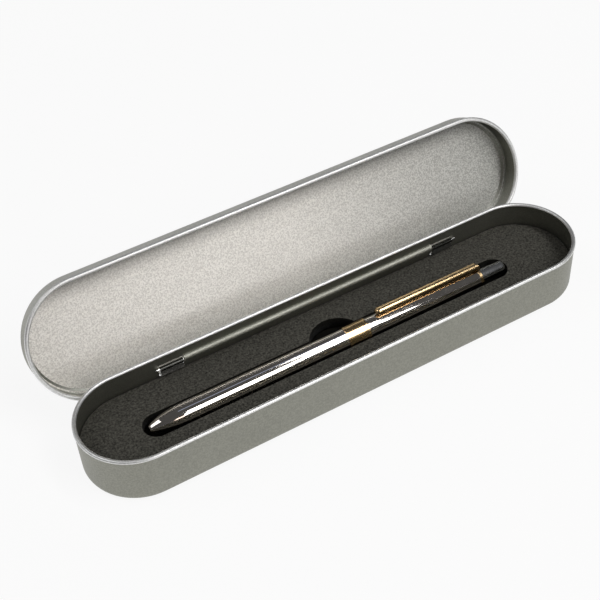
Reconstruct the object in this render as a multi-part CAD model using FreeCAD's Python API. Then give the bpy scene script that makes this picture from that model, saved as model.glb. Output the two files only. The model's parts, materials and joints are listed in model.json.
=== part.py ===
import FreeCAD, Part
import math
import os

# A hinged drawn-tin pencil case, lid open, with a foam insert cut to a push-button pen.
# Millimetres. Origin at the centre of the base's underside: X along the case, Y towards the
# hinge, Z up. The lid is modelled closed and then turned open about the hinge wire.

# Case base
CASE_LENGTH = 190.0      # over the base's rolled rim
CASE_WIDTH = 38.6        # over the base's rolled rim
BASE_HEIGHT = 19.7
SHEET = 0.35             # tinplate
RIM_ROLL = 1.5           # diameter of the base's rolled rim
ROLL_PROUD = 0.3         # how far a rolled rim stands out from its wall
BOTTOM_RADIUS = 3.0

# Lid
LID_GAP = 0.25           # between the two rolled rims when closed
LID_ROLL = 1.5           # diameter of the lid's rolled rim
LID_DEPTH = 8.8          # from the lid's rim to its raised panel
LID_OVERLAP = 2.5        # how far the closed lid reaches below the base's rim
LID_CORNER = 0.9         # radius between skirt and ledge
LEDGE_WIDTH = 0.3        # flat ledge round the raised panel
PANEL_RISE = 0.55
STEP_SLOPE = 35.0        # degrees, the step round the panel
OPEN_ANGLE = 118.5       # degrees from closed to the open stop

# Hinge
PIN_DIAMETER = 0.9
PIN_DROP = 6.2           # hinge axis below the base's rim
PIN_PLAY = 0.05          # radial clearance round the wire
BEAD_LENGTH = 99.6       # half-round bead pressed into the back wall
SLOT_LENGTH = 9.2        # one slot at each end of the bead
PIN_LAP = 1.0            # the wire's reach behind the wall past each slot
TAB_GAP = 0.4            # between a lid tab and its slot
RELIEF_START = 0.6       # the rear skirt is cut short from here outwards, past the hinge axis
RELIEF_CLEAR = 0.4       # between the cut skirt and the base's rim as the lid turns

# Foam
FOAM_GAP = 0.2           # between foam and wall
INSERT_THICKNESS = 4.7
RECESS_WIDTH = 10.0
RECESS_OFFSET = 0.5      # from the pen's axis towards the hinge
RECESS_MARGIN = 1.8      # past the pen's tip, so that the point comes out clear of the foam
RECESS_END = 1.2         # past its button
NOTCH_RADIUS = 9.8       # finger notch, on the hinge side
NOTCH_PLACE = 71.5       # from the pen's tip
NOTCH_OFFSET = 1.4       # from the pen's axis towards the hinge

# Pen: lengths run from the tip, radii from the pen's axis
PEN_TIP_X = -71.7
PEN_Y = -0.3
PEN_SEAT = 0.3           # between the pen and the foam pad
BARREL_RADIUS = 3.8
NOSE_LENGTH = 13.3
NOSE_LIP = 1.25          # outer radius at the tip
NOSE_HOLE = 0.85
NOSE_LAND = 2.5          # length of the tip hole
NOSE_CONE = 6.6          # length from the tip hole to the full bore
LOWER_LENGTH = 73.2
LOWER_BORE = 2.5
RING_LENGTH = 8.4
RING_RADIUS = 4.15
RING_LIP = 0.8           # width of the two raised edges of the centre ring
RING_WAIST = 0.12        # depth of the band between them
UPPER_LENGTH = 46.6
UPPER_END_RADIUS = 3.4
UPPER_BORE = 2.9
FIT = 0.03               # clearance of a fixed fit
COUPLING_RADIUS = 3.05
COUPLING_BORE = 2.3
COUPLING_REACH = 8.0     # into each barrel

# Clip
CLIP_RING_LENGTH = 1.0
CLIP_RING_RADIUS = 3.55
CLIP_LENGTH = 43.0
CLIP_WIDTH = 3.1
CLIP_THICKNESS = 1.5
CLIP_ROUND = 1.2         # radius along the top of the bar
CLIP_LIFT = 1.1          # gap between clip and barrel at the ring
CLIP_TURN = 14.0         # degrees the clip leans back from straight up
CLIP_BALL = 0.75         # radius of the foot that bears on the barrel
CLIP_POST = 0.6          # radius of the post above the foot
CLIP_FOOT_GAP = 0.02

# Push mechanism
BUTTON_RADIUS = 2.62
BUTTON_TIP_RADIUS = 2.3
BUTTON_EXPOSED = 10.8
BUTTON_INSIDE = 5.0      # length guided inside the clip ring
BUTTON_WALL = 0.5
BUTTON_CAP = 2.8         # thickness of the closed end
BUTTON_ROUND = 1.4
BUTTON_TRAVEL = 4.2
GUIDE_CLEARANCE = 0.08   # radial clearance of the sliding fits
SLEEVE_LENGTH = 18.0
SLEEVE_CLEAR = 0.8       # left between sleeve and button when pressed
STEM_RADIUS = 1.8
STEM_LENGTH = 21.0       # from the button's skirt to the rotor
ROTOR_LENGTH = 5.0
ROTOR_RADIUS = 1.7
ROTOR_BORE = 0.6
REFILL_RADIUS = 1.5
REFILL_BORE = 1.1
REFILL_START = 16.0      # from the tip, at rest
REFILL_COLLAR = 2.1      # radius of the spring seat on the refill
COLLAR_PLACE = 24.0
COLLAR_LENGTH = 1.2
POINT_RETRACT = 2.6      # the writing point's depth behind the tip at rest
POINT_RADIUS = 0.45
POINT_TIP = 0.22         # radius at the very end
POINT_LENGTH = 4.5
POINT_CONE = 3.0
POINT_SHANK = 1.15
POINT_SEAT = 1.2         # length seated in the ink tube
SPRING_WIRE = 0.36
SPRING_RADIUS = 1.95     # to the middle of the wire
SPRING_TURNS = 8
SPRING_SEAT_GAP = 0.05

# Places worked out from the sizes above
END_X = (CASE_LENGTH - CASE_WIDTH) / 2
RIM = CASE_WIDTH / 2
WALL_OUT = RIM - ROLL_PROUD
WALL_IN = WALL_OUT - SHEET
WALL_MIDDLE = (WALL_OUT + WALL_IN) / 2
PIN_RADIUS = PIN_DIAMETER / 2
PIN_Y = WALL_IN - PIN_PLAY - PIN_RADIUS
PIN_Z = BASE_HEIGHT - PIN_DROP
BEAD_INNER = WALL_MIDDLE - (PIN_Y - PIN_RADIUS - PIN_PLAY)
BEAD_OUTER = BEAD_INNER + SHEET
CURL_INNER = PIN_RADIUS + PIN_PLAY
CURL_OUTER = CURL_INNER + SHEET
LID_RIM = RIM + LID_GAP + LID_ROLL
LID_OUT = LID_RIM - ROLL_PROUD
LID_IN = LID_OUT - SHEET
LID_BOTTOM = BASE_HEIGHT - LID_OVERLAP
LID_TOP = LID_BOTTOM + LID_DEPTH
FOAM_SIDE = WALL_IN - FOAM_GAP
RING_START = LOWER_LENGTH
UPPER_START = RING_START + RING_LENGTH
UPPER_END = UPPER_START + UPPER_LENGTH
CLIP_END = UPPER_END + CLIP_RING_LENGTH
PEN_LENGTH = CLIP_END + BUTTON_EXPOSED
BUTTON_START = CLIP_END - BUTTON_INSIDE
STEM_START = BUTTON_START - STEM_LENGTH
REFILL_END = STEM_START - ROTOR_LENGTH
COUPLING_START = RING_START - COUPLING_REACH
COUPLING_END = UPPER_START + COUPLING_REACH
SLEEVE_END = BUTTON_START - BUTTON_TRAVEL - SLEEVE_CLEAR
POINT_END = POINT_RETRACT + POINT_LENGTH + POINT_CONE
SPRING_START = NOSE_LAND + NOSE_CONE
NOTCH_X = PEN_TIP_X + NOTCH_PLACE
NOTCH_Y = PEN_Y + NOTCH_OFFSET
RECESS_Y = PEN_Y + RECESS_OFFSET


def tab_drop(y):
    """How far the open lid's tab is below the hinge axis, where it passes the plane at y."""
    turn = math.radians(OPEN_ANGLE)
    arm = LID_OUT - SHEET / 2 - PIN_Y
    run = (y - PIN_Y - arm * math.cos(turn)) / math.sin(turn)
    return arm * math.sin(turn) - run * math.cos(turn) + SHEET / 2 / math.sin(turn)


SLOT_BOTTOM = PIN_Z - tab_drop(WALL_OUT) - TAB_GAP
FOAM_TOP = PIN_Z - tab_drop(FOAM_SIDE) - TAB_GAP
PAD_TOP = FOAM_TOP - INSERT_THICKNESS
PEN_Z = PAD_TOP + PEN_SEAT + RING_RADIUS

X_AXIS = FreeCAD.Vector(1, 0, 0)
Z_AXIS = FreeCAD.Vector(0, 0, 1)
ORIGIN = FreeCAD.Vector(0, 0, 0)


def section(y, z):
    """A point of a cross-section, in the plane across the case."""
    return FreeCAD.Vector(0, y, z)


def face_of(edges):
    return Part.Face(Part.Wire(Part.__sortEdges__(edges)))


def polyline(points):
    return [Part.LineSegment(a, b).toShape() for a, b in zip(points, points[1:])]


def corner_arc(start, middle, end):
    return Part.Arc(start, middle, end).toShape()


def rounded_corner(cy, cz, radius, first, last):
    """A quarter circle of a cross-section about (cy, cz), between two angles in degrees."""
    angles = [math.radians(a) for a in (first, (first + last) / 2, last)]
    return corner_arc(*[section(cy + radius * math.cos(a), cz + radius * math.sin(a)) for a in angles])


def obround(face):
    """The solid of an obround pan whose half cross-section is the face."""
    right = face.revolve(ORIGIN, Z_AXIS, -180)
    right.translate(FreeCAD.Vector(END_X, 0, 0))
    left = right.mirror(ORIGIN, X_AXIS)
    back = face.extrude(FreeCAD.Vector(2 * END_X, 0, 0))
    back.translate(FreeCAD.Vector(-END_X, 0, 0))
    front = back.mirror(ORIGIN, FreeCAD.Vector(0, 1, 0))
    return right.multiFuse([left, back, front]).removeSplitter()


def rolled_rim(outer, diameter, low):
    """A rolled rim all round, from its outermost half-width and its lowest level."""
    centre = section(outer - diameter / 2, low + diameter / 2)
    circle = Part.Circle(centre, X_AXIS, diameter / 2).toShape()
    return obround(Part.Face(Part.Wire(circle)))


def block(x0, x1, y0, y1, z0, z1):
    return Part.makeBox(x1 - x0, y1 - y0, z1 - z0, FreeCAD.Vector(x0, y0, z0))


def both_ends(solid):
    """The solid and its mirror image at the other end of the case."""
    return [solid, solid.mirror(ORIGIN, X_AXIS)]


def base_pan():
    """Drawn pan with a rolled rim, and a bead and two slots in its back wall for the hinge."""
    fillet = WALL_OUT - BOTTOM_RADIUS
    edges = [
        *polyline([section(0, SHEET), section(0, 0), section(fillet, 0)]),
        rounded_corner(fillet, BOTTOM_RADIUS, BOTTOM_RADIUS, 270, 360),
        *polyline([
            section(WALL_OUT, BOTTOM_RADIUS),
            section(WALL_OUT, BASE_HEIGHT - RIM_ROLL / 2),
            section(WALL_IN, BASE_HEIGHT - RIM_ROLL / 2),
            section(WALL_IN, BOTTOM_RADIUS),
        ]),
        rounded_corner(fillet, BOTTOM_RADIUS, BOTTOM_RADIUS - SHEET, 270, 360),
        *polyline([section(fillet, SHEET), section(0, SHEET)]),
    ]
    pan = obround(face_of(edges)).fuse(rolled_rim(RIM, RIM_ROLL, BASE_HEIGHT - RIM_ROLL))
    half = BEAD_LENGTH / 2
    groove = block(-half, half, WALL_IN - SHEET, RIM, PIN_Z - BEAD_INNER, PIN_Z + BEAD_INNER)
    slot = block(half, half + SLOT_LENGTH, WALL_IN - SHEET, RIM,
                 SLOT_BOTTOM, PIN_Z + CURL_OUTER + TAB_GAP)
    return pan.cut([groove, *both_ends(slot)]).fuse(hinge_bead()).removeSplitter()


def hinge_bead():
    """The half-round bead of the back wall, open to the outside, that the wire lies in."""
    start = FreeCAD.Vector(-BEAD_LENGTH / 2, WALL_MIDDLE, PIN_Z)
    tube = Part.makeCylinder(BEAD_OUTER, BEAD_LENGTH, start, X_AXIS)
    bore = Part.makeCylinder(BEAD_INNER, BEAD_LENGTH, start, X_AXIS)
    outside = block(-BEAD_LENGTH, BEAD_LENGTH, WALL_MIDDLE, RIM + BEAD_OUTER, 0, BASE_HEIGHT)
    return tube.cut([bore, outside])


def hinge_pin():
    """Straight wire along the bead, its ends behind the wall past the slots."""
    length = BEAD_LENGTH + 2 * (SLOT_LENGTH + PIN_LAP)
    return Part.makeCylinder(PIN_RADIUS, length, FreeCAD.Vector(-length / 2, PIN_Y, PIN_Z), X_AXIS)


def lid_shell():
    """The closed lid: skirt with a rolled rim, ledge and raised panel."""
    ledge = LID_TOP - PANEL_RISE
    panel = LID_OUT - LID_CORNER - LEDGE_WIDTH
    slope = math.radians(STEP_SLOPE)
    top = panel - PANEL_RISE / math.tan(slope)
    offset = SHEET * math.tan(slope / 2)
    middle = LID_OUT - LID_CORNER
    edges = [
        *polyline([
            section(LID_IN, ledge - LID_CORNER),
            section(LID_IN, LID_BOTTOM + LID_ROLL / 2),
            section(LID_OUT, LID_BOTTOM + LID_ROLL / 2),
            section(LID_OUT, ledge - LID_CORNER),
        ]),
        rounded_corner(middle, ledge - LID_CORNER, LID_CORNER, 0, 90),
        *polyline([
            section(middle, ledge),
            section(panel, ledge),
            section(top, LID_TOP),
            section(0, LID_TOP),
            section(0, LID_TOP - SHEET),
            section(top - offset, LID_TOP - SHEET),
            section(panel - offset, ledge - SHEET),
            section(middle, ledge - SHEET),
        ]),
        rounded_corner(middle, ledge - LID_CORNER, LID_CORNER - SHEET, 90, 0),
    ]
    return obround(face_of(edges)).fuse(rolled_rim(LID_RIM, LID_ROLL, LID_BOTTOM))


def relief_level():
    """Where the rear skirt is cut, so that it swings clear over the base's rolled rim."""
    roll_y = RIM - RIM_ROLL / 2 - PIN_Y
    roll_z = PIN_DROP - RIM_ROLL / 2
    reach = math.hypot(roll_y, roll_z) + RIM_ROLL / 2 + RELIEF_CLEAR
    return PIN_Z + math.sqrt(reach ** 2 - (LID_IN - PIN_Y) ** 2)


def lid_tab():
    """The right-hand tab: down from the cut skirt, in through the slot and round the wire."""
    start = BEAD_LENGTH / 2 + TAB_GAP
    width = SLOT_LENGTH - 2 * TAB_GAP
    end = start + width
    curl = Part.makeCylinder(CURL_OUTER, width, FreeCAD.Vector(start, PIN_Y, PIN_Z), X_AXIS)
    bore = Part.makeCylinder(CURL_INNER, width, FreeCAD.Vector(start, PIN_Y, PIN_Z), X_AXIS)
    arm = block(start, end, PIN_Y, LID_OUT, PIN_Z + CURL_INNER, PIN_Z + CURL_OUTER)
    leg = block(start, end, LID_IN, LID_OUT, PIN_Z + CURL_INNER, relief_level() + SHEET)
    return curl.cut(bore).fuse([arm.cut(bore), leg])


def lid_pan():
    """The lid with its two hinge tabs, turned open about the wire."""
    far = CASE_LENGTH
    relief = block(-far, far, PIN_Y + RELIEF_START, far, 0, relief_level())
    lid = lid_shell().cut(relief).fuse(both_ends(lid_tab())).removeSplitter()
    lid.rotate(FreeCAD.Vector(0, PIN_Y, PIN_Z), X_AXIS, -OPEN_ANGLE)
    return lid


def foam_pad():
    """Plain foam layer on the floor of the pan."""
    radius = BOTTOM_RADIUS - SHEET
    fillet = FOAM_SIDE - radius
    edges = [
        *polyline([section(fillet, SHEET), section(0, SHEET), section(0, PAD_TOP),
                   section(FOAM_SIDE, PAD_TOP), section(FOAM_SIDE, SHEET + radius)]),
        rounded_corner(fillet, SHEET + radius, radius, 360, 270),
    ]
    return obround(face_of(edges))


def recess():
    """The pen's recess through the foam insert, with round ends and a finger notch."""
    radius = RECESS_WIDTH / 2
    first = PEN_TIP_X - RECESS_MARGIN + radius
    last = PEN_TIP_X + PEN_LENGTH + RECESS_END - radius
    run = block(first, last, RECESS_Y - radius, RECESS_Y + radius, PAD_TOP, FOAM_TOP)
    ends = [
        Part.makeCylinder(radius, INSERT_THICKNESS, FreeCAD.Vector(x, RECESS_Y, PAD_TOP), Z_AXIS)
        for x in (first, last)
    ]
    notch = Part.makeCylinder(NOTCH_RADIUS, INSERT_THICKNESS,
                              FreeCAD.Vector(NOTCH_X, NOTCH_Y, PAD_TOP), Z_AXIS, 180)
    return run.fuse([*ends, notch])


def foam_insert():
    """Foam layer cut to the pen."""
    edges = polyline([section(0, PAD_TOP), section(FOAM_SIDE, PAD_TOP), section(FOAM_SIDE, FOAM_TOP),
                      section(0, FOAM_TOP), section(0, PAD_TOP)])
    return obround(face_of(edges)).cut(recess())


def along(u, r):
    """A point of the pen's half section: u from the tip, r from the axis."""
    return FreeCAD.Vector(PEN_TIP_X + u, PEN_Y, PEN_Z + r)


def turned(edges):
    """The solid turned about the pen's axis from the edges of its half section."""
    return face_of(edges).revolve(along(0, 0), X_AXIS, 360)


def turned_points(points):
    closed = [along(u, r) for u, r in points]
    return turned(polyline([*closed, closed[0]]))


def tube(start, end, outer, inner):
    return turned_points([(start, inner), (end, inner), (end, outer), (start, outer)])


def lower_barrel():
    """Lower barrel, drawn to a rounded nose with the tip hole."""
    lip = NOSE_LIP / BARREL_RADIUS
    reach = NOSE_LENGTH / math.sqrt(1 - lip ** 2)
    nose = Part.Ellipse(ORIGIN, reach, BARREL_RADIUS)
    arc = Part.ArcOfEllipse(nose, math.pi / 2, math.pi - math.asin(lip)).toShape()
    arc.Placement = FreeCAD.Placement(along(NOSE_LENGTH, 0), FreeCAD.Rotation(X_AXIS, 90))
    bore_end = COUPLING_START
    socket = COUPLING_RADIUS + FIT
    inside = [(NOSE_LENGTH, BARREL_RADIUS), (LOWER_LENGTH, BARREL_RADIUS), (LOWER_LENGTH, socket),
              (bore_end, socket), (bore_end, LOWER_BORE), (SPRING_START, LOWER_BORE),
              (NOSE_LAND, NOSE_HOLE), (0, NOSE_HOLE), (0, NOSE_LIP)]
    return turned([arc, *polyline([along(u, r) for u, r in inside])])


def centre_ring():
    """Gold ring between the barrels, with a raised edge at each end."""
    waist = RING_RADIUS - RING_WAIST
    inner = COUPLING_RADIUS + FIT
    first, last = RING_START + RING_LIP, UPPER_START - RING_LIP
    return turned_points([
        (RING_START, inner), (UPPER_START, inner), (UPPER_START, RING_RADIUS), (last, RING_RADIUS),
        (last - RING_WAIST, waist), (first + RING_WAIST, waist), (first, RING_RADIUS),
        (RING_START, RING_RADIUS),
    ])


def coupling():
    """Brass tube that joins the barrels inside the ring."""
    return tube(COUPLING_START + FIT, COUPLING_END - FIT, COUPLING_RADIUS, COUPLING_BORE)


def upper_barrel():
    """Upper barrel, tapering to the clip ring."""
    socket = COUPLING_RADIUS + FIT
    return turned_points([
        (UPPER_START, socket), (COUPLING_END, socket), (COUPLING_END, UPPER_BORE),
        (UPPER_END, UPPER_BORE), (UPPER_END, UPPER_END_RADIUS), (UPPER_START, BARREL_RADIUS),
    ])


def clip():
    """Spring clip: ring, riser, half-round bar and the foot that bears on the barrel."""
    hole = BUTTON_RADIUS + GUIDE_CLEARANCE
    ring = tube(UPPER_END, CLIP_END, CLIP_RING_RADIUS, hole)
    under = UPPER_END_RADIUS + CLIP_LIFT
    bar_start = CLIP_END - CLIP_LENGTH
    half = CLIP_WIDTH / 2
    base = along(bar_start + half, under)
    flat = block(base.x, base.x + CLIP_LENGTH - half, PEN_Y - half, PEN_Y + half,
                 base.z, base.z + CLIP_THICKNESS)
    tip = Part.makeCylinder(half, CLIP_THICKNESS, base, Z_AXIS)
    bar = flat.fuse(tip).removeSplitter()
    top = [e for e in bar.Edges if min(v.Z for v in e.Vertexes) > base.z + CLIP_THICKNESS / 2]
    bar = bar.makeFillet(CLIP_ROUND, top)
    riser = block(along(UPPER_END, 0).x, along(CLIP_END, 0).x, PEN_Y - half, PEN_Y + half,
                  PEN_Z + (hole + CLIP_RING_RADIUS) / 2, base.z + CLIP_THICKNESS / 2)
    barrel_here = BARREL_RADIUS + (UPPER_END_RADIUS - BARREL_RADIUS) * (
        (bar_start + half - UPPER_START) / UPPER_LENGTH)
    ball_z = barrel_here + CLIP_FOOT_GAP + CLIP_BALL
    ball = Part.makeSphere(CLIP_BALL, along(bar_start + half, ball_z))
    post = Part.makeCylinder(CLIP_POST, under + CLIP_THICKNESS / 2 - ball_z,
                             along(bar_start + half, ball_z), Z_AXIS)
    solid = ring.fuse([bar, riser, ball, post]).removeSplitter()
    solid.rotate(along(0, 0), X_AXIS, -CLIP_TURN)
    return solid


def cam_sleeve():
    """Sleeve fixed in the upper barrel that guides the stem."""
    return tube(SLEEVE_END - SLEEVE_LENGTH, SLEEVE_END, UPPER_BORE - FIT, STEM_RADIUS + GUIDE_CLEARANCE)


def push_button():
    """Hollow tapered button with a rounded end."""
    inner = BUTTON_RADIUS - BUTTON_WALL
    round_start = PEN_LENGTH - BUTTON_ROUND
    flat = BUTTON_TIP_RADIUS - BUTTON_ROUND
    middle = math.sqrt(0.5) * BUTTON_ROUND
    shoulder = [(PEN_LENGTH, flat), (PEN_LENGTH, 0), (PEN_LENGTH - BUTTON_CAP, 0),
                (PEN_LENGTH - BUTTON_CAP, inner - BUTTON_WALL), (CLIP_END, inner),
                (BUTTON_START, inner), (BUTTON_START, BUTTON_RADIUS), (CLIP_END, BUTTON_RADIUS),
                (round_start, BUTTON_TIP_RADIUS)]
    arc = corner_arc(along(round_start, BUTTON_TIP_RADIUS),
                     along(round_start + middle, flat + middle), along(PEN_LENGTH, flat))
    return turned([arc, *polyline([along(u, r) for u, r in shoulder])])


def stem():
    """Plastic stem from the button to the rotor, its head pressed into the button."""
    head = BUTTON_RADIUS - BUTTON_WALL - FIT
    return turned_points([
        (STEM_START, 0), (CLIP_END, 0), (CLIP_END, head), (BUTTON_START + FIT, head),
        (BUTTON_START + FIT, STEM_RADIUS), (STEM_START, STEM_RADIUS),
    ])


def rotor():
    """Rotor that the stem drives against the refill."""
    return tube(REFILL_END, STEM_START, ROTOR_RADIUS, ROTOR_BORE)


def refill_tube():
    """Ink tube with the collar that the spring bears on."""
    return turned_points([
        (REFILL_START, REFILL_BORE), (REFILL_END, REFILL_BORE), (REFILL_END, REFILL_RADIUS),
        (COLLAR_PLACE + COLLAR_LENGTH, REFILL_RADIUS), (COLLAR_PLACE + COLLAR_LENGTH, REFILL_COLLAR),
        (COLLAR_PLACE, REFILL_COLLAR), (COLLAR_PLACE, REFILL_RADIUS), (REFILL_START, REFILL_RADIUS),
    ])


def refill_point():
    """Writing point, its shank seated in the ink tube."""
    cone_start = POINT_RETRACT + POINT_LENGTH
    seat = REFILL_START + POINT_SEAT
    return turned_points([
        (POINT_RETRACT, 0), (seat, 0), (seat, REFILL_BORE - FIT), (REFILL_START, REFILL_BORE - FIT),
        (REFILL_START, POINT_SHANK), (POINT_END, POINT_SHANK), (cone_start, POINT_RADIUS),
        (POINT_RETRACT + POINT_RADIUS, POINT_RADIUS), (POINT_RETRACT, POINT_TIP),
    ])


def return_spring():
    """Coil spring between the nose and the refill's collar."""
    first = SPRING_START + SPRING_WIRE / 2 + SPRING_SEAT_GAP
    last = COLLAR_PLACE - SPRING_WIRE / 2 - SPRING_SEAT_GAP
    pitch = (last - first) / SPRING_TURNS
    helix = Part.makeHelix(pitch, last - first, SPRING_RADIUS)
    ring = Part.Circle(FreeCAD.Vector(SPRING_RADIUS, 0, 0), FreeCAD.Vector(0, 1, 0), SPRING_WIRE / 2)
    coil = Part.Wire(helix).makePipeShell([Part.Wire(ring.toShape())], True, True)
    coil.Placement = FreeCAD.Placement(along(first, 0), FreeCAD.Rotation(Z_AXIS, X_AXIS))
    return coil


PIECES = [
    base_pan, hinge_pin, foam_pad, foam_insert, lid_pan,
    lower_barrel, centre_ring, coupling, upper_barrel, clip, cam_sleeve, return_spring,
    push_button, stem, rotor, refill_tube, refill_point,
]

os.makedirs("parts", exist_ok=True)
for piece in PIECES:
    shape = piece()
    shape.exportStep(f"parts/{piece.__name__}.step")
    print(piece.__name__, shape.ShapeType, len(shape.Solids), shape.isValid(), round(shape.Volume, 2))
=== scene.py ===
import json
import math

import bpy
from mathutils import Matrix, Quaternion, Vector, geometry, noise

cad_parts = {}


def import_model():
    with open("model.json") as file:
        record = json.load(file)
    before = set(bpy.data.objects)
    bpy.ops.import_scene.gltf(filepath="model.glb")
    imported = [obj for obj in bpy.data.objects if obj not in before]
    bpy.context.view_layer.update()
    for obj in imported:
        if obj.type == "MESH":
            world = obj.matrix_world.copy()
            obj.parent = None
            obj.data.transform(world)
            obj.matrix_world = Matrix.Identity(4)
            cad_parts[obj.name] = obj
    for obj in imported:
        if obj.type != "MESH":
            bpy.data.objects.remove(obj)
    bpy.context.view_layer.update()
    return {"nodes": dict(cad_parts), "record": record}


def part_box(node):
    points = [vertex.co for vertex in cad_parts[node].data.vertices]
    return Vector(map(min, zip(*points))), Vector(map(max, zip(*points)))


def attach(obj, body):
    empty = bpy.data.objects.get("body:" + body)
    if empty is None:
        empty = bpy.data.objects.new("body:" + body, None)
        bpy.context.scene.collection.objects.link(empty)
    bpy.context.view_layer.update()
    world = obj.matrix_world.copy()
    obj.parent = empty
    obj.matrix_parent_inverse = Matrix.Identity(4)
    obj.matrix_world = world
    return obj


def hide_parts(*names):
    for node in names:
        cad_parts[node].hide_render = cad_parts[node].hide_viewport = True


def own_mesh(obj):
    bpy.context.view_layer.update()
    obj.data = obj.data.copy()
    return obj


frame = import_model()
nodes = frame["nodes"]

MM = 0.001

# Foam sizes, as the solids have them
RECESS_WIDTH = 10.0 * MM
RECESS_OFFSET = 0.5 * MM     # from the pen's axis towards the hinge
RECESS_MARGIN = 1.8 * MM     # past the pen's tip
RECESS_END = 1.2 * MM        # past its button
NOTCH_RADIUS = 9.8 * MM      # on the hinge side
NOTCH_PLACE = 71.5 * MM      # from the pen's tip
NOTCH_OFFSET = 0.9 * MM      # from the recess's middle line towards the hinge
PAD_CORNER = 2.65 * MM       # the pan's inner corner radius
CUT_ROUND = 0.35 * MM        # how far the foam's cut edges round over
FOAM_GRID = 1.5 * MM
FOAM_SWELL = 0.07 * MM       # unevenness of the foam's top
SWELL_SIZE = 14 * MM         # how far apart its highs and lows lie
OUTLINE_STEP = 0.6 * MM

# Rolled rims, as levels along the direction that each pan opens to; between them the rim gets a painted
# highlight
LID_OPENS = Vector((0, -0.879, 0.477))
LID_TIP = Vector((0, 0.477, 0.879))          # towards the open lid's upper edge
LID_EDGE = (53.9 * MM, 56.1 * MM)            # where a painted shade darkens the plate towards that edge
LID_FADE = (5 * MM, 92 * MM)                 # where a painted shade takes the plate from bright to grey along X
LID_RIM = (-14.7 * MM, -13.1 * MM)
BASE_OPENS = Vector((0, 0, 1))
BASE_RIM = (19.0 * MM, 30 * MM)

# Finishes
FLAT = 0.97                  # least share of a normal along an axis on a flat face
CUT_WALL = 0.6               # the same, upwards, on the foam's uncut face
TIP_SIDE = (0.3, 0.9)        # share of a normal towards the lid's upper edge, where a painted light makes the colour lighter
FOOT_SIDE = (0.2, 0.8)       # the same away from it, where a painted shade makes the colour near-black
PLATE_DULL = 0.75            # how much less metallic the lid's flat faces are
SPECKLE = (0.36, 0.64)       # noise levels between which the tin's colour runs
COARSE = (0.40, 0.60)        # the same on the lid's plate
GRAIN = (0.32, 0.70)         # the same in foam
WELD = 0.005 * MM

# Camera, fitted to the photograph's outlines
PHOTO_SIDE = 600
FOCAL_PIXELS = 1196.51
CENTRE_PIXEL = (321.12, 306.9)
CAMERA_AZIMUTH = -29.18
CAMERA_ELEVATION = 44.36
CAMERA_ROLL = -2.91
CAMERA_DISTANCE = 0.41725
CAMERA_TARGET = Vector((2.77, 17.27, 10.0)) * MM
SENSOR_WIDTH = 36.0

# Light and room, in metres and as radiance
CEILING = 1.2
SOFTBOX_DISTANCE = 1.2
FLOOR_SIDE = 6.0
FLOOR_COLOUR = (0.85, 0.85, 0.85, 1)
FLOOR_WHITE = 0.9            # share of plain white in the floor that is seen, the rest takes shadow
HORIZON = (0.06, 0.6)        # height on the world's sphere, and radiance up to it
ROOM = (0.20, 0.075)         # the same from there on
ROOM_FILL = 0.15             # radiance for all other rays


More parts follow.
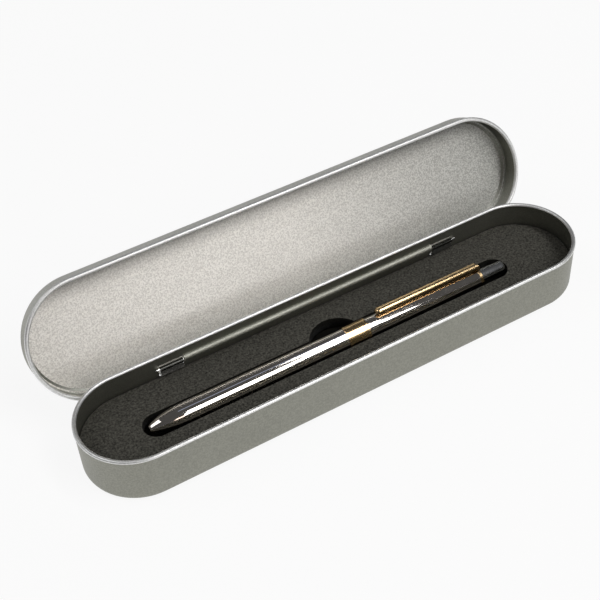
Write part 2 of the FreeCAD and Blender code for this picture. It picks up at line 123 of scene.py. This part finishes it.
class Shader:
    """A node material with one Principled shader, built up step by step in object space."""

    def __init__(self, name, **sockets):
        self.material = bpy.data.materials.new(name)
        self.material.use_nodes = True
        self.tree = self.material.node_tree
        self.shader = self.tree.nodes["Principled BSDF"]
        coordinates = self.add("ShaderNodeTexCoord").outputs
        self.place, self.normal = coordinates["Object"], coordinates["Normal"]
        for socket, value in sockets.items():
            self.shader.inputs[socket.replace("_", " ")].default_value = value

    def add(self, kind, **settings):
        node = self.tree.nodes.new(kind)
        for key, value in settings.items():
            setattr(node, key, value)
        return node

    def link(self, output, target):
        self.tree.links.new(output, target)

    def stretched(self, x, y, z):
        """Object coordinates scaled along each axis, for a grain that runs one way."""
        mapping = self.add("ShaderNodeMapping")
        mapping.inputs["Scale"].default_value = (x, y, z)
        self.link(self.place, mapping.inputs["Vector"])
        return mapping.outputs["Vector"]

    def noise(self, size, detail=2.0, rough=0.5, place=None):
        """Noise with features about as large as size, in metres."""
        node = self.add("ShaderNodeTexNoise")
        node.inputs["Scale"].default_value = 1 / size
        node.inputs["Detail"].default_value = detail
        node.inputs["Roughness"].default_value = rough
        self.link(place or self.place, node.inputs["Vector"])
        return node.outputs["Fac"]

    def cells(self, size):
        """Rounded cells about as large as size, in metres."""
        node = self.add("ShaderNodeTexVoronoi")
        node.inputs["Scale"].default_value = 1 / size
        self.link(self.place, node.inputs["Vector"])
        return node.outputs["Distance"]

    def ramp(self, value, low, high, start=0.3, end=0.7):
        """Colour or level that runs from low to high as the value goes from start to end."""
        node = self.add("ShaderNodeValToRGB")
        for stop, place, level in zip(node.color_ramp.elements, (start, end), (low, high)):
            stop.position = place
            stop.color = (*level, 1) if isinstance(level, tuple) else (level, level, level, 1)
        self.link(value, node.inputs["Fac"])
        return node.outputs["Color"]

    def math(self, operation, first, second):
        """Result of an operation on two values, each a number or another node's output."""
        node = self.add("ShaderNodeMath", operation=operation, use_clamp=False)
        for value, target in zip((first, second), node.inputs):
            if isinstance(value, float):
                target.default_value = value
            else:
                self.link(value, target)
        return node.outputs[0]

    def along(self, source, axis):
        """How far a vector, a place or a normal, reaches along an axis."""
        node = self.add("ShaderNodeVectorMath", operation="DOT_PRODUCT")
        self.link(source, node.inputs[0])
        node.inputs[1].default_value = axis
        return node.outputs["Value"]

    def beyond(self, source, axis, level):
        """1 where a vector reaches past a level along an axis, and otherwise 0."""
        return self.math("GREATER_THAN", self.along(source, axis), level)

    def mixed(self, share, first, second):
        """Colour between the first, where the share is 0, and the second, where it is 1."""
        node = self.add("ShaderNodeMix", data_type="RGBA")
        self.link(share, node.inputs["Factor"])
        self.link(first, node.inputs["A"])
        self.link(second, node.inputs["B"])
        return node.outputs["Result"]

    def colour(self, output):
        self.link(output, self.shader.inputs["Base Color"])

    def roughness(self, output):
        self.link(output, self.shader.inputs["Roughness"])

    def bump(self, *layers):
        """Stacks bumps, each (height, depth in metres, strength)."""
        below = None
        for height, depth, strength in layers:
            node = self.add("ShaderNodeBump")
            node.inputs["Distance"].default_value = depth
            node.inputs["Strength"].default_value = strength
            self.link(height, node.inputs["Height"])
            if below:
                self.link(below, node.inputs["Normal"])
            below = node.outputs["Normal"]
        self.link(below, self.shader.inputs["Normal"])


def tin(name, up, rim, rim_end, plate=None):
    """Satin tinplate with a painted highlight on its rim between two levels along up, and painted shade on
    the smooth tabs past it.

    A lid also gives the direction that its plate faces, which is brighter inside, with painted shade that
    darkens it near the lid's upper edge and turns it grey along X.
    """
    s = Shader(name, Metallic=1.0)
    speckle = s.noise(0.55 * MM, detail=2, rough=0.65)
    cloud = s.noise(22 * MM, detail=2)
    level = s.ramp(cloud, 0.46, 0.52)
    finish_and_painted_light = s.ramp(speckle, (0.255, 0.255, 0.222), (0.32, 0.32, 0.278), *SPECKLE)
    # painted shade: a near-black colour for the lid's tabs past the rim, for faces turned away from its
    # upper edge, and for the plate close to that edge
    painted_shade = s.ramp(speckle, (0.03, 0.03, 0.027), (0.05, 0.05, 0.045), *SPECKLE)
    # painted highlight: the rolled rim between the two levels is given a much brighter colour
    painted_rim_highlight = s.ramp(speckle, (0.72, 0.72, 0.71), (0.86, 0.86, 0.85), *SPECKLE)
    # painted shade: past the rim, on the lid's tabs, the colour is near-black
    past_rim = s.beyond(s.place, up, rim_end)
    on_rim = s.math("SUBTRACT", s.beyond(s.place, up, rim), past_rim)
    if plate:
        flat = s.beyond(s.normal, plate, FLAT)
        both = s.math("ADD", flat, s.beyond(s.normal, -plate, FLAT))
        # painted shade: the plate goes near-black close to the lid's upper edge
        edge = s.ramp(s.along(s.place, LID_TIP), 0.0, 1.0, *LID_EDGE)
        tilt = s.along(s.normal, LID_TIP)
        away = s.math("MULTIPLY", tilt, -1.0)
        # painted light: faces turned towards the lid's upper edge get a lighter colour
        painted_lit_side = s.ramp(speckle, (0.44, 0.44, 0.41), (0.56, 0.56, 0.52), *SPECKLE)
        finish_and_painted_light = s.mixed(s.ramp(tilt, 0.0, 1.0, *TIP_SIDE), finish_and_painted_light, painted_lit_side)
        # painted shade: faces turned away from the lid's upper edge get the near-black colour
        finish_and_painted_light = s.mixed(s.ramp(away, 0.0, 1.0, *FOOT_SIDE), finish_and_painted_light, painted_shade)
        bright = s.ramp(speckle, (0.70, 0.67, 0.62), (1.0, 0.97, 0.91), *COARSE)
        # painted shade: the plate runs from bright to grey along X, towards its less lit side
        grey = s.ramp(speckle, (0.34, 0.34, 0.315), (0.62, 0.62, 0.585), *COARSE)
        painted_shade_fade = s.ramp(s.along(s.place, (1, 0, 0)), 0.0, 1.0, *LID_FADE)
        finish_and_painted_light = s.mixed(flat, finish_and_painted_light, s.mixed(edge, s.mixed(painted_shade_fade, bright, grey), painted_shade))
        level = s.mixed(flat, level, s.ramp(cloud, 0.36, 0.40))
        s.link(s.math("SUBTRACT", 1.0, s.math("MULTIPLY", both, PLATE_DULL)), s.shader.inputs["Metallic"])
    # the tin's colour with its painted light and shade, the painted rim highlight, and painted shade past
    # the rim
    s.colour(s.mixed(past_rim, s.mixed(on_rim, finish_and_painted_light, painted_rim_highlight), painted_shade))
    s.roughness(s.mixed(past_rim, level, s.ramp(cloud, 0.10, 0.14)))
    s.bump((speckle, 0.03 * MM, 0.6))
    return s.material


def steel_wire():
    """Bright wire with fine lengthwise lines."""
    s = Shader("hinge_wire", Metallic=1.0)
    drawn = s.noise(0.25 * MM, detail=3, place=s.stretched(0.02, 1, 1))
    s.colour(s.ramp(drawn, (0.62, 0.62, 0.61), (0.78, 0.78, 0.77)))
    s.roughness(s.ramp(drawn, 0.14, 0.26))
    s.bump((drawn, 0.01 * MM, 0.3))
    return s.material


def foam(name, low, high):
    """Dark foam with fine pores and a mottled grey face. Its cut walls are darker."""
    s = Shader(name, Specular_IOR_Level=0.06, Sheen_Weight=0.03)
    pores = s.cells(0.7 * MM)
    grain = s.noise(0.7 * MM, detail=4, rough=0.7)
    cloud = s.noise(9 * MM, detail=3)
    face = s.ramp(grain, low, high, *GRAIN)
    cut = s.ramp(grain, (0.004, 0.0038, 0.003), (0.012, 0.0115, 0.009), *GRAIN)
    s.colour(s.mixed(s.beyond(s.normal, (0, 0, 1), CUT_WALL), cut, face))
    s.roughness(s.ramp(cloud, 0.86, 0.98))
    s.bump((grain, 0.16 * MM, 0.8), (pores, 0.12 * MM, 0.6))
    return s.material


def polished(name, low, high, rough_low, rough_high):
    """Polished plate with faint lengthwise lines and wiped patches."""
    s = Shader(name, Metallic=1.0)
    lines = s.noise(0.3 * MM, detail=2, place=s.stretched(0.01, 1, 1))
    wiped = s.noise(6 * MM, detail=3)
    s.colour(s.ramp(lines, low, high))
    s.roughness(s.ramp(wiped, rough_low, rough_high))
    s.bump((lines, 0.0004 * MM, 0.2))
    return s.material


def moulded(name, low, high):
    """Plain moulded plastic."""
    s = Shader(name)
    grain = s.noise(0.3 * MM, detail=2)
    s.colour(s.ramp(grain, low, high))
    s.roughness(s.ramp(grain, 0.4, 0.55))
    s.bump((grain, 0.01 * MM, 0.3))
    return s.material


def drawn_metal(name, low, high):
    """Unpolished metal with a lengthwise grain."""
    s = Shader(name, Metallic=1.0)
    grain = s.noise(0.3 * MM, detail=3, place=s.stretched(0.05, 1, 1))
    s.colour(s.ramp(grain, low, high))
    s.roughness(s.ramp(grain, 0.25, 0.38))
    s.bump((grain, 0.01 * MM, 0.3))
    return s.material


FINISHES = {
    "tin": tin("tin", BASE_OPENS, *BASE_RIM),
    "hinge_wire": steel_wire(),
    "foam": foam("foam", (0.015, 0.0145, 0.0122), (0.115, 0.111, 0.095)),
    "barrel_chrome": polished("barrel_chrome", (0.75, 0.70, 0.65), (0.81, 0.76, 0.71), 0.03, 0.07),
    "button_chrome": polished("button_chrome", (0.66, 0.67, 0.69), (0.72, 0.73, 0.75), 0.10, 0.14),
    "gold": polished("gold", (0.66, 0.47, 0.25), (0.78, 0.58, 0.33), 0.16, 0.21),
    "inner_brass": drawn_metal("inner_brass", (0.62, 0.45, 0.2), (0.74, 0.56, 0.28)),
    "inner_plastic": moulded("inner_plastic", (0.02, 0.02, 0.02), (0.04, 0.04, 0.04)),
    "refill_plastic": moulded("refill_plastic", (0.66, 0.68, 0.70), (0.74, 0.75, 0.77)),
    "spring_steel": drawn_metal("spring_steel", (0.50, 0.50, 0.50), (0.62, 0.62, 0.62)),
}
SLOTS = {part["node"]: part["material_slot"] for part in frame["record"]["subparts"]}

for name, node in nodes.items():
    node.data.materials.clear()
    node.data.materials.append(FINISHES[SLOTS[name]])
nodes["lid_pan"].data.materials[0] = tin("tin_lid", LID_OPENS, *LID_RIM, plate=LID_OPENS)


def arc(centre, radius, first, last, step=OUTLINE_STEP):
    """Points along an arc between two angles in radians, both ends included."""
    count = max(2, math.ceil(abs(last - first) * radius / step))
    angles = [first + (last - first) * k / count for k in range(count + 1)]
    return [Vector((centre[0] + radius * math.cos(a), centre[1] + radius * math.sin(a))) for a in angles]


def straight(first, last, step):
    """Points between two ends, which are left out."""
    count = max(2, math.ceil((last - first).length / step))
    return [first.lerp(last, k / count) for k in range(1, count)]


def obround(half_length, radius):
    """Outline of an obround about the origin, anticlockwise."""
    reach = half_length - radius
    right = arc((reach, 0), radius, -math.pi / 2, math.pi / 2)
    left = arc((-reach, 0), radius, math.pi / 2, 3 * math.pi / 2)
    back, front = straight(right[-1], left[0], FOAM_GRID), straight(left[-1], right[0], FOAM_GRID)
    return [*right, *back, *left, *front]


def recess_outline():
    """Outline of the pen's recess with its finger notch, anticlockwise."""
    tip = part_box("lower_barrel")[0].x
    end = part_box("push_button")[1].x
    ring_low, ring_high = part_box("centre_ring")
    axis = (ring_low.y + ring_high.y) / 2 + RECESS_OFFSET
    radius = RECESS_WIDTH / 2
    first, last = tip - RECESS_MARGIN + radius, end + RECESS_END - radius
    centre = (tip + NOTCH_PLACE, axis + NOTCH_OFFSET)
    back = math.asin((radius - NOTCH_OFFSET) / NOTCH_RADIUS)
    right = arc((last, axis), radius, -math.pi / 2, math.pi / 2)
    notch = arc(centre, NOTCH_RADIUS, back, math.pi - back)
    left = arc((first, axis), radius, math.pi / 2, 3 * math.pi / 2)
    runs = [right, notch, left]
    points = []
    for run, following in zip(runs, [*runs[1:], runs[0]]):
        points += [*run, *straight(run[-1], following[0], FOAM_GRID)]
    return points


def moved_out(outline, distance):
    """The outline, anticlockwise, moved out of its own area by a distance."""
    count = len(outline)
    moved = []
    for k, point in enumerate(outline):
        along = (outline[(k + 1) % count] - outline[k - 1]).normalized()
        moved.append(point + Vector((along.y, -along.x)) * distance)
    return moved


def inside(point, outline):
    """Whether a point lies within an outline."""
    crossings = 0
    for a, b in zip(outline, [*outline[1:], outline[0]]):
        if (a.y > point.y) != (b.y > point.y):
            crossings += point.x < a.x + (point.y - a.y) / (b.y - a.y) * (b.x - a.x)
    return crossings % 2 == 1


def swell(x, y):
    """Slight unevenness of a foam surface, never above its own level."""
    return FOAM_SWELL * (noise.noise(Vector((x, y, 0)) / SWELL_SIZE) - 1) / 2


def filled(outlines, level, uneven):
    """A triangulated face between an outer outline and any holes, with points spread over it."""
    outer, *holes = outlines
    xs, ys = [p.x for p in outer], [p.y for p in outer]
    points = [p for outline in outlines for p in outline]
    edges = []
    start = 0
    for outline in outlines:
        count = len(outline)
        edges += [(start + k, start + (k + 1) % count) for k in range(count)]
        start += count
    margin_out = moved_out(outer, -FOAM_GRID / 2)
    margin_holes = [moved_out(hole, FOAM_GRID / 2) for hole in holes]
    row = 0
    y = min(ys)
    while y < max(ys):
        x = min(xs) + (row % 2) * FOAM_GRID / 2
        while x < max(xs):
            p = Vector((x, y))
            if inside(p, margin_out) and not any(inside(p, hole) for hole in margin_holes):
                points.append(p)
            x += FOAM_GRID
        y += FOAM_GRID * math.sqrt(3) / 2
        row += 1
    flat, _, faces, *_ = geometry.delaunay_2d_cdt(points, edges, [], 0, 1e-9)
    kept = []
    for face in faces:
        middle = sum((flat[i] for i in face), Vector((0, 0))) / len(face)
        if inside(middle, outer) and not any(inside(middle, hole) for hole in holes):
            kept.append(tuple(face))
    heights = [level + (swell(p.x, p.y) if uneven else 0) for p in flat]
    return [(p.x, p.y, z) for p, z in zip(flat, heights)], kept


def slab(name, profiles, outlines, material):
    """A closed foam slab with an outer outline and any holes.

    Each outline has a profile: how far it moves out of its own area at each level, top first.
    """
    vertices, faces = [], []
    tops = [moved_out(outline, profile[0][0]) for outline, profile in zip(outlines, profiles)]
    bottoms = [moved_out(outline, profile[-1][0]) for outline, profile in zip(outlines, profiles)]
    for ends, level, uneven in ((tops, profiles[0][0][1], True), (bottoms, profiles[0][-1][1], False)):
        points, triangles = filled(ends, level, uneven)
        start = len(vertices)
        vertices += points
        faces += [tuple(start + i for i in (t if uneven else reversed(t))) for t in triangles]
    for number, (outline, profile) in enumerate(zip(outlines, profiles)):
        count = len(outline)
        start = len(vertices)
        for step, (offset, level) in enumerate(profile):
            for p in moved_out(outline, offset):
                drop = swell(p.x, p.y) if step == 0 else 0
                vertices.append((p.x, p.y, level + drop))
        for step in range(len(profile) - 1):
            for k in range(count):
                a, b = start + step * count + k, start + step * count + (k + 1) % count
                wall = (a, a + count, b + count, b)
                faces.append(wall if number == 0 else wall[::-1])
    mesh = bpy.data.meshes.new(name)
    mesh.from_pydata(vertices, [], faces)
    piece = bpy.data.objects.new(name, mesh)
    bpy.context.scene.collection.objects.link(piece)
    weld = piece.modifiers.new("weld", "WELD")
    weld.merge_threshold = WELD
    mesh.shade_smooth()
    mesh.materials.append(material)
    return piece


def rounded_top(top, bottom, side):
    """Profile of a cut edge: it rounds over at the top. side is 1 round a hole and -1 on the outside."""
    steps = [math.radians(a) for a in (0, 30, 60, 90)]
    edge = [(side * CUT_ROUND * (1 - math.sin(a)), top - CUT_ROUND * (1 - math.cos(a))) for a in steps]
    return [*edge, (0, bottom)]


def foam_pieces():
    """The insert that is cut to the pen, and the plain pad under it."""
    low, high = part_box("foam_insert")
    outline = obround(high.x, high.y)
    insert = slab("foam_insert_cut", [rounded_top(high.z, low.z, -1), rounded_top(high.z, low.z, 1)],
                  [outline, recess_outline()], FINISHES["foam"])
    low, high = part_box("foam_pad")
    turns = [math.radians(a) for a in (0, 22.5, 45, 67.5, 90)]
    corner = [(PAD_CORNER * (math.cos(a) - 1), low.z + PAD_CORNER * (1 - math.sin(a))) for a in turns]
    darker = foam("foam_pad", (0.003, 0.0028, 0.002), (0.008, 0.0075, 0.006))
    pad = slab("foam_pad_layer", [[(0, high.z), *corner]], [obround(high.x, high.y)], darker)
    for piece, node in ((insert, "foam_insert"), (pad, "foam_pad")):
        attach(piece, "base")
        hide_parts(node)


foam_pieces()


def coil_spring():
    """The pen's spring, seated in the nose, which shortens as the button goes in; here it is a copy with a
    mesh of its own, carried by the pen.
    """
    piece = bpy.data.objects.new("return_spring_coil", nodes["return_spring"].data.copy())
    bpy.context.scene.collection.objects.link(piece)
    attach(piece, "pen")
    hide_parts("return_spring")
    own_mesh(piece)


coil_spring()


def light_path(tree):
    """1 for rays from the camera, in mirrors and through glass, and otherwise 0."""
    path = tree.nodes.new("ShaderNodeLightPath")
    total = path.outputs["Is Camera Ray"]
    for ray in ("Is Glossy Ray", "Is Transmission Ray"):
        either = tree.nodes.new("ShaderNodeMath")
        either.operation = "MAXIMUM"
        tree.links.new(total, either.inputs[0])
        tree.links.new(path.outputs[ray], either.inputs[1])
        total = either.outputs[0]
    return total


def floor():
    """A white floor that takes the object's shadow."""
    mesh = bpy.data.meshes.new("floor")
    corners = [(x * FLOOR_SIDE, y * FLOOR_SIDE, 0) for x, y in ((-1, -1), (1, -1), (1, 1), (-1, 1))]
    mesh.from_pydata(corners, [], [(0, 1, 2, 3)])
    piece = bpy.data.objects.new("floor", mesh)
    bpy.context.scene.collection.objects.link(piece)
    material = bpy.data.materials.new("floor_white")
    material.use_nodes = True
    tree = material.node_tree
    tree.nodes.clear()
    diffuse = tree.nodes.new("ShaderNodeBsdfDiffuse")
    diffuse.inputs["Color"].default_value = FLOOR_COLOUR
    white = tree.nodes.new("ShaderNodeEmission")
    share = tree.nodes.new("ShaderNodeMath")
    share.operation = "MULTIPLY"
    share.inputs[1].default_value = FLOOR_WHITE
    mix = tree.nodes.new("ShaderNodeMixShader")
    output = tree.nodes.new("ShaderNodeOutputMaterial")
    tree.links.new(light_path(tree), share.inputs[0])
    tree.links.new(share.outputs[0], mix.inputs["Fac"])
    tree.links.new(diffuse.outputs[0], mix.inputs[1])
    tree.links.new(white.outputs[0], mix.inputs[2])
    tree.links.new(mix.outputs[0], output.inputs["Surface"])
    mesh.materials.append(material)


def world():
    """A dim room that is white near the horizon for the camera and in mirrors."""
    made = bpy.data.worlds.new("studio")
    bpy.context.scene.world = made
    made.use_nodes = True
    tree = made.node_tree
    background = tree.nodes["Background"]
    place = tree.nodes.new("ShaderNodeTexCoord")
    split = tree.nodes.new("ShaderNodeSeparateXYZ")
    ramp = tree.nodes.new("ShaderNodeValToRGB")
    for stop, (height, level) in zip(ramp.color_ramp.elements, (HORIZON, ROOM)):
        stop.position = height
        stop.color = (level, level, level, 1)
    mix = tree.nodes.new("ShaderNodeMix")
    mix.data_type = "RGBA"
    mix.inputs["A"].default_value = (ROOM_FILL, ROOM_FILL, ROOM_FILL, 1)
    tree.links.new(place.outputs["Generated"], split.inputs[0])
    tree.links.new(split.outputs["Z"], ramp.inputs["Fac"])
    tree.links.new(light_path(tree), mix.inputs["Factor"])
    tree.links.new(ramp.outputs["Color"], mix.inputs["B"])
    tree.links.new(mix.outputs["Result"], background.inputs["Color"])


def panel(name, width, height, radiance, colour=(1, 1, 1)):
    """A rectangular light of an even brightness."""
    data = bpy.data.lights.new(name, "AREA")
    data.shape = "RECTANGLE"
    data.size, data.size_y = width, height
    data.energy = radiance * math.pi * width * height
    data.color = colour
    light = bpy.data.objects.new(name, data)
    bpy.context.scene.collection.objects.link(light)
    return light


def softbox(light, azimuth, elevation, lean=0):
    """Turns a panel to the object. Azimuth 0 is in front, 90 to the right; lean turns its top right."""
    a, e = math.radians(azimuth), math.radians(elevation)
    away = Vector((math.sin(a) * math.cos(e), -math.cos(a) * math.cos(e), math.sin(e)))
    light.location = away * SOFTBOX_DISTANCE
    light.rotation_mode = "QUATERNION"
    light.rotation_quaternion = away.to_track_quat("Z", "Y") @ Quaternion((0, 0, 1), -math.radians(lean))


def ceiling(light, x, y, turn=0):
    """Hangs a panel level over the object."""
    light.location = (x, y, CEILING)
    light.rotation_euler.z = math.radians(turn)


def lights():
    warm, cool = (1.0, 0.80, 0.70), (0.62, 0.72, 1.0)
    softbox(panel("front", 0.24, 0.60, radiance=6.0), azimuth=18, elevation=46, lean=18)
    softbox(panel("front_warm", 0.20, 0.24, radiance=2.4, colour=warm), azimuth=2, elevation=32, lean=18)
    softbox(panel("front_card", 0.17, 0.36, radiance=4.4), azimuth=16, elevation=15)
    ceiling(panel("right_strip", 0.145, 1.34, radiance=12.0), x=0.53, y=-0.66, turn=8.8)
    ceiling(panel("right_end", 0.07, 0.90, radiance=8.0), x=0.66, y=-0.84, turn=21)
    ceiling(panel("overhead_left", 0.9, 1.1, radiance=1.8), x=-0.85, y=0.40)
    ceiling(panel("cool_strip", 0.45, 0.14, radiance=0.45, colour=cool), x=0.28, y=0.18)


def camera():
    """The photograph's camera, with its centre shifted as the photograph is framed."""
    data = bpy.data.cameras.new("camera")
    data.sensor_width = SENSOR_WIDTH
    data.lens = FOCAL_PIXELS * SENSOR_WIDTH / PHOTO_SIDE
    data.shift_x = (PHOTO_SIDE / 2 - CENTRE_PIXEL[0]) / PHOTO_SIDE
    data.shift_y = (CENTRE_PIXEL[1] - PHOTO_SIDE / 2) / PHOTO_SIDE
    data.clip_start = 0.01
    a, e, roll = (math.radians(v) for v in (CAMERA_AZIMUTH, CAMERA_ELEVATION, CAMERA_ROLL))
    back = Vector((math.sin(a) * math.cos(e), -math.cos(a) * math.cos(e), math.sin(e)))
    level = Vector((math.cos(a), math.sin(a), 0))
    right = level * math.cos(roll) + back.cross(level) * math.sin(roll)
    up = back.cross(right)
    piece = bpy.data.objects.new("camera", data)
    place = CAMERA_TARGET + back * CAMERA_DISTANCE
    piece.matrix_world = Matrix.Translation(place) @ Matrix((right, up, back)).transposed().to_4x4()
    bpy.context.scene.collection.objects.link(piece)
    bpy.context.scene.camera = piece


floor()
world()
lights()
camera()
bpy.context.scene.view_settings.view_transform = "Standard"
